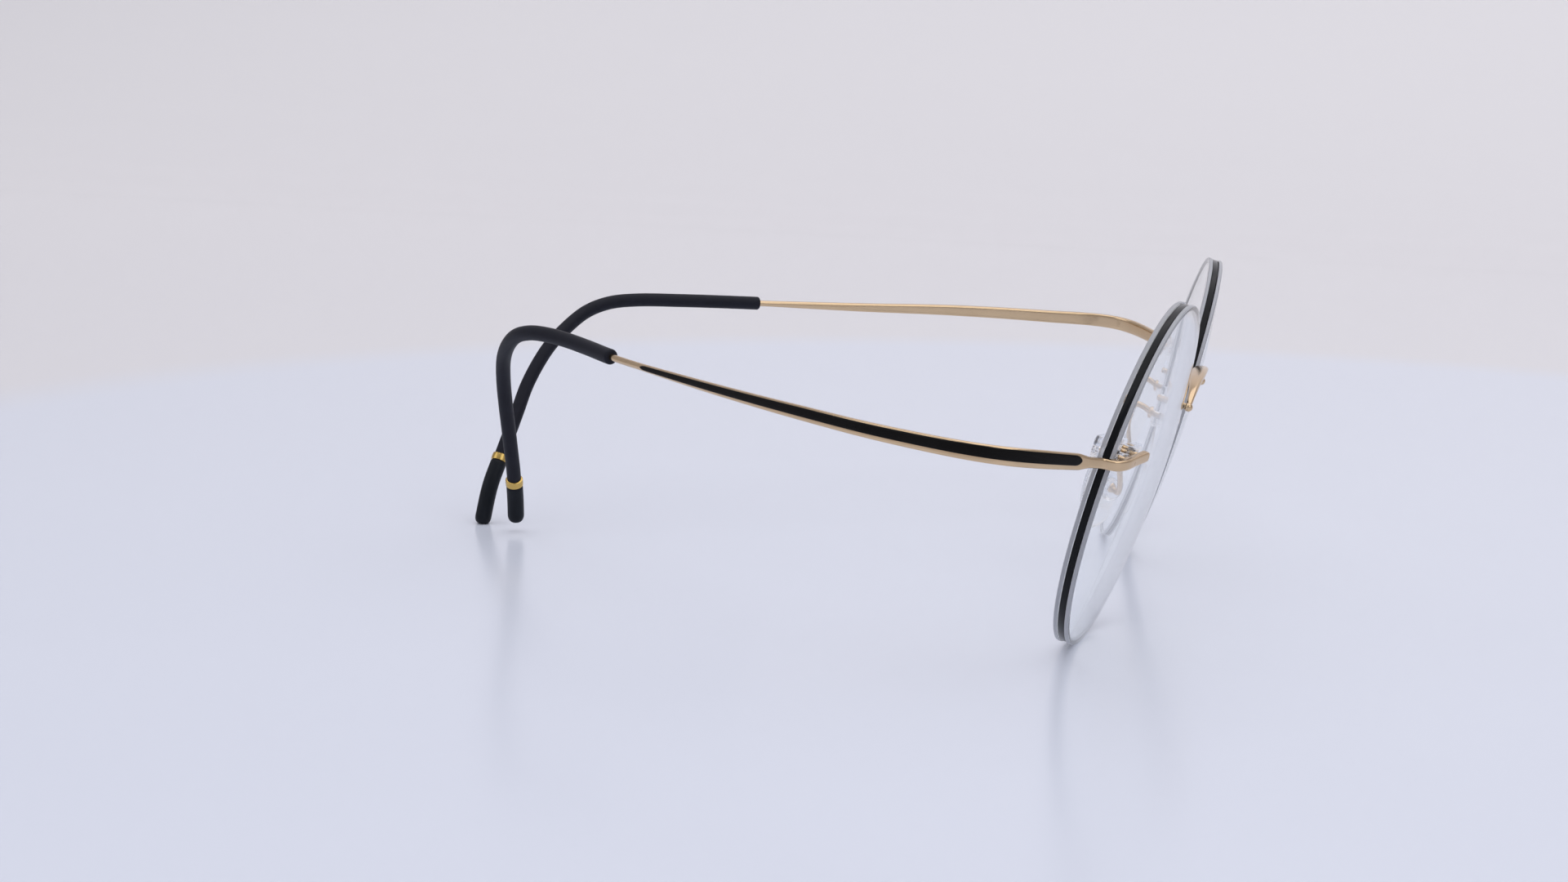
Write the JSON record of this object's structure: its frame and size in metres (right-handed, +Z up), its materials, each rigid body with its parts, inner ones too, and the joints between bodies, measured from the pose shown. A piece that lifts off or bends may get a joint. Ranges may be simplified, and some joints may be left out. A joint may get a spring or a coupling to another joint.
{
  "type": "rimless eyeglasses",
  "caption": "Rimless eyeglasses with round drilled lenses, a thin arched metal bridge, hingeless wire temples with an enamel stripe, and soft dark ear sleeves.",
  "frame": {"origin": "on the standing surface, under the middle of the bounding box", "axes": "+Z up; X is the wearer's lateral axis with the left lens at +X; the lens fronts face -Y and the temples run towards +Y"},
  "size_m": [0.1362, 0.1062, 0.0431],
  "materials": {
    "lens_clear": "clear optical plastic, polished and coated",
    "ring_black": "glossy black",
    "gold_metal": "polished, light rose-gold tone",
    "clear_nylon": "clear, slightly milky",
    "pad_silicone": "clear soft silicone, satin",
    "enamel_black": "glossy black enamel",
    "sleeve_slate": "matte soft slate black",
    "cap_black": "satin black"
  },
  "bodies": {
    "front": {"lens_left": "lens_clear", "lens_right": "lens_clear", "accent_ring_left": "ring_black", "accent_ring_right": "ring_black", "endpiece_left": "gold_metal", "endpiece_right": "gold_metal", "temple_spacer_left": "clear_nylon", "temple_spacer_right": "clear_nylon", "temple_bushing_left": "clear_nylon", "temple_bushing_right": "clear_nylon", "bridge": "gold_metal", "bridge_bushing_left": "clear_nylon", "bridge_bushing_right": "clear_nylon", "pad_arm_left": "gold_metal", "pad_arm_right": "gold_metal"},
    "temple_right": {"temple_wire_right": "gold_metal", "enamel_inlay_right": "enamel_black", "ear_sleeve_right": "sleeve_slate", "tip_ring_right": "gold_metal", "tip_cap_right": "cap_black"},
    "temple_left": {"temple_wire_left": "gold_metal", "enamel_inlay_left": "enamel_black", "ear_sleeve_left": "sleeve_slate", "tip_ring_left": "gold_metal", "tip_cap_left": "cap_black"},
    "pad_right": {"pad_cup_right": "clear_nylon", "nose_pad_right": "pad_silicone"},
    "pad_left": {"pad_cup_left": "clear_nylon", "nose_pad_left": "pad_silicone"}
  },
  "joints": [
    {"name": "temple_right_flex", "type": "hinge", "parent": "front", "child": "temple_right", "pos_m": [-0.0571, -0.04364, 0.02688], "axis": [0, 0, 1], "range_deg": [-5, 35], "stiffness_Nm_per_rad": 0.09},
    {"name": "temple_left_flex", "type": "hinge", "parent": "front", "child": "temple_left", "pos_m": [0.05628, -0.04374, 0.02688], "axis": [0, 0, -1], "range_deg": [-3, 35], "stiffness_Nm_per_rad": 0.09},
    {"name": "pad_right_rock", "type": "hinge", "parent": "front", "child": "pad_right", "pos_m": [-0.01101, -0.04229, 0.01569], "axis": [-0.2314, -0.0421, 0.972], "range_deg": [-8, 8]},
    {"name": "pad_left_rock", "type": "hinge", "parent": "front", "child": "pad_left", "pos_m": [0.01011, -0.04229, 0.01569], "axis": [0.2314, -0.0421, 0.972], "range_deg": [-8, 8]}
  ]
}
